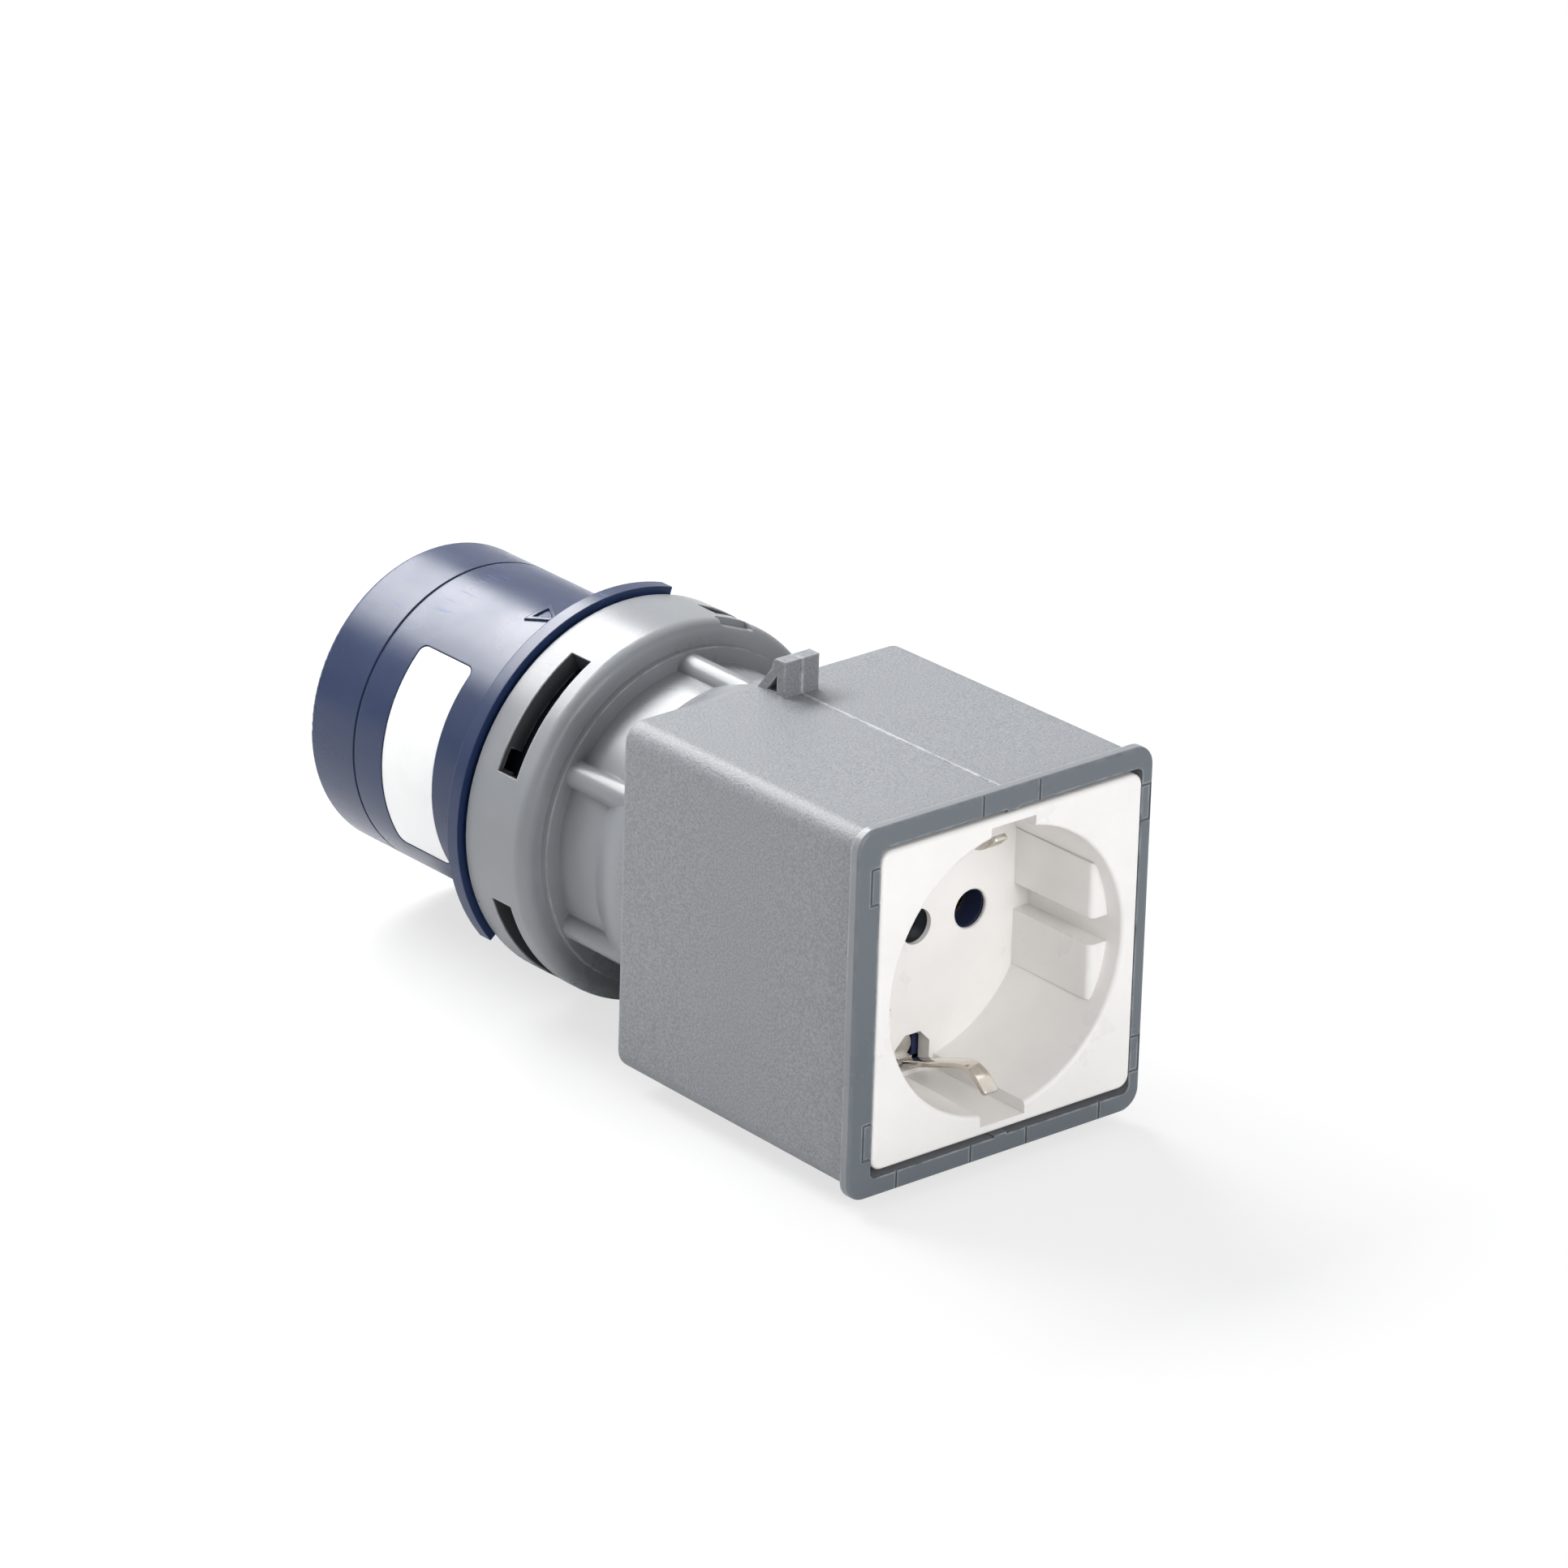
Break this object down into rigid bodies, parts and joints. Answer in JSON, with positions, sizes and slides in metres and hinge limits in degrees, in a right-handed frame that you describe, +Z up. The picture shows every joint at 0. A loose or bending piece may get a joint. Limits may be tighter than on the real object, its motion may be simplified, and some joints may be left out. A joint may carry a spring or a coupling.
{
  "type": "plug adapter",
  "caption": "Adapter from a round three-pin industrial plug with a blue sleeve to an earthed household socket in a grey square housing.",
  "frame": {"origin": "centre of the socket rim's front plane, on the axis of the round plug", "axes": "+X out of the household socket along the plug's axis, +Z up through the catch on the box"},
  "size_m": [0.118, 0.0558, 0.0578],
  "materials": {
    "housing_grey": "satin, fine moulded grain",
    "sleeve_blue": "satin",
    "label_white": "smooth film",
    "insulator_black": "moulded",
    "insulator_blue": "moulded",
    "pin_nickel": "nickel plated",
    "clip_nickel": "nickel plated",
    "contact_brass": "stamped",
    "screw_steel": "zinc plated",
    "ferrule_tin": "tinned",
    "lead_brown": "flexible insulation",
    "lead_blue": "flexible insulation",
    "lead_green": "flexible insulation",
    "cover_white": "gloss, slightly warm white"
  },
  "bodies": {
    "housing": {"housing": "housing_grey", "socket_cover": "cover_white", "contact_base": "insulator_blue", "contact_retainer": "insulator_blue", "phase_contact": "contact_brass", "neutral_contact": "contact_brass", "earth_bridge": "clip_nickel", "phase_lead_socket_end": "lead_brown", "neutral_lead_socket_end": "lead_blue", "earth_lead_socket_end": "lead_green", "socket_ferrules": "ferrule_tin", "contact_clamp_screws": "screw_steel", "cover_screw": "screw_steel", "base_screws": "screw_steel"},
    "plug_head": {"plug_sleeve": "sleeve_blue", "sleeve_label": "label_white", "pin_carrier": "insulator_black", "phase_pin": "pin_nickel", "neutral_pin": "pin_nickel", "earth_pin": "pin_nickel", "pin_clamp_screws": "screw_steel", "carrier_screws": "screw_steel", "phase_lead_plug_end": "lead_brown", "neutral_lead_plug_end": "lead_blue", "earth_lead_plug_end": "lead_green", "plug_ferrules": "ferrule_tin"},
    "clip_upper": {"earth_clip_upper": "clip_nickel"},
    "clip_lower": {"earth_clip_lower": "clip_nickel"}
  },
  "joints": [
    {"name": "plug_twist", "type": "hinge", "parent": "housing", "child": "plug_head", "pos_m": [-0.0776, 0, 0], "axis": [-1, 0, 0], "range_deg": [0, 7]},
    {"name": "clip_upper_flex", "type": "hinge", "parent": "housing", "child": "clip_upper", "pos_m": [-0.0185, 0.001, 0.01972], "axis": [0, -1, 0], "range_deg": [0, 6], "stiffness_Nm_per_rad": 1},
    {"name": "clip_lower_flex", "type": "hinge", "parent": "housing", "child": "clip_lower", "pos_m": [-0.0185, 0.001, -0.01972], "axis": [0, 1, 0], "range_deg": [0, 6], "stiffness_Nm_per_rad": 1}
  ]
}
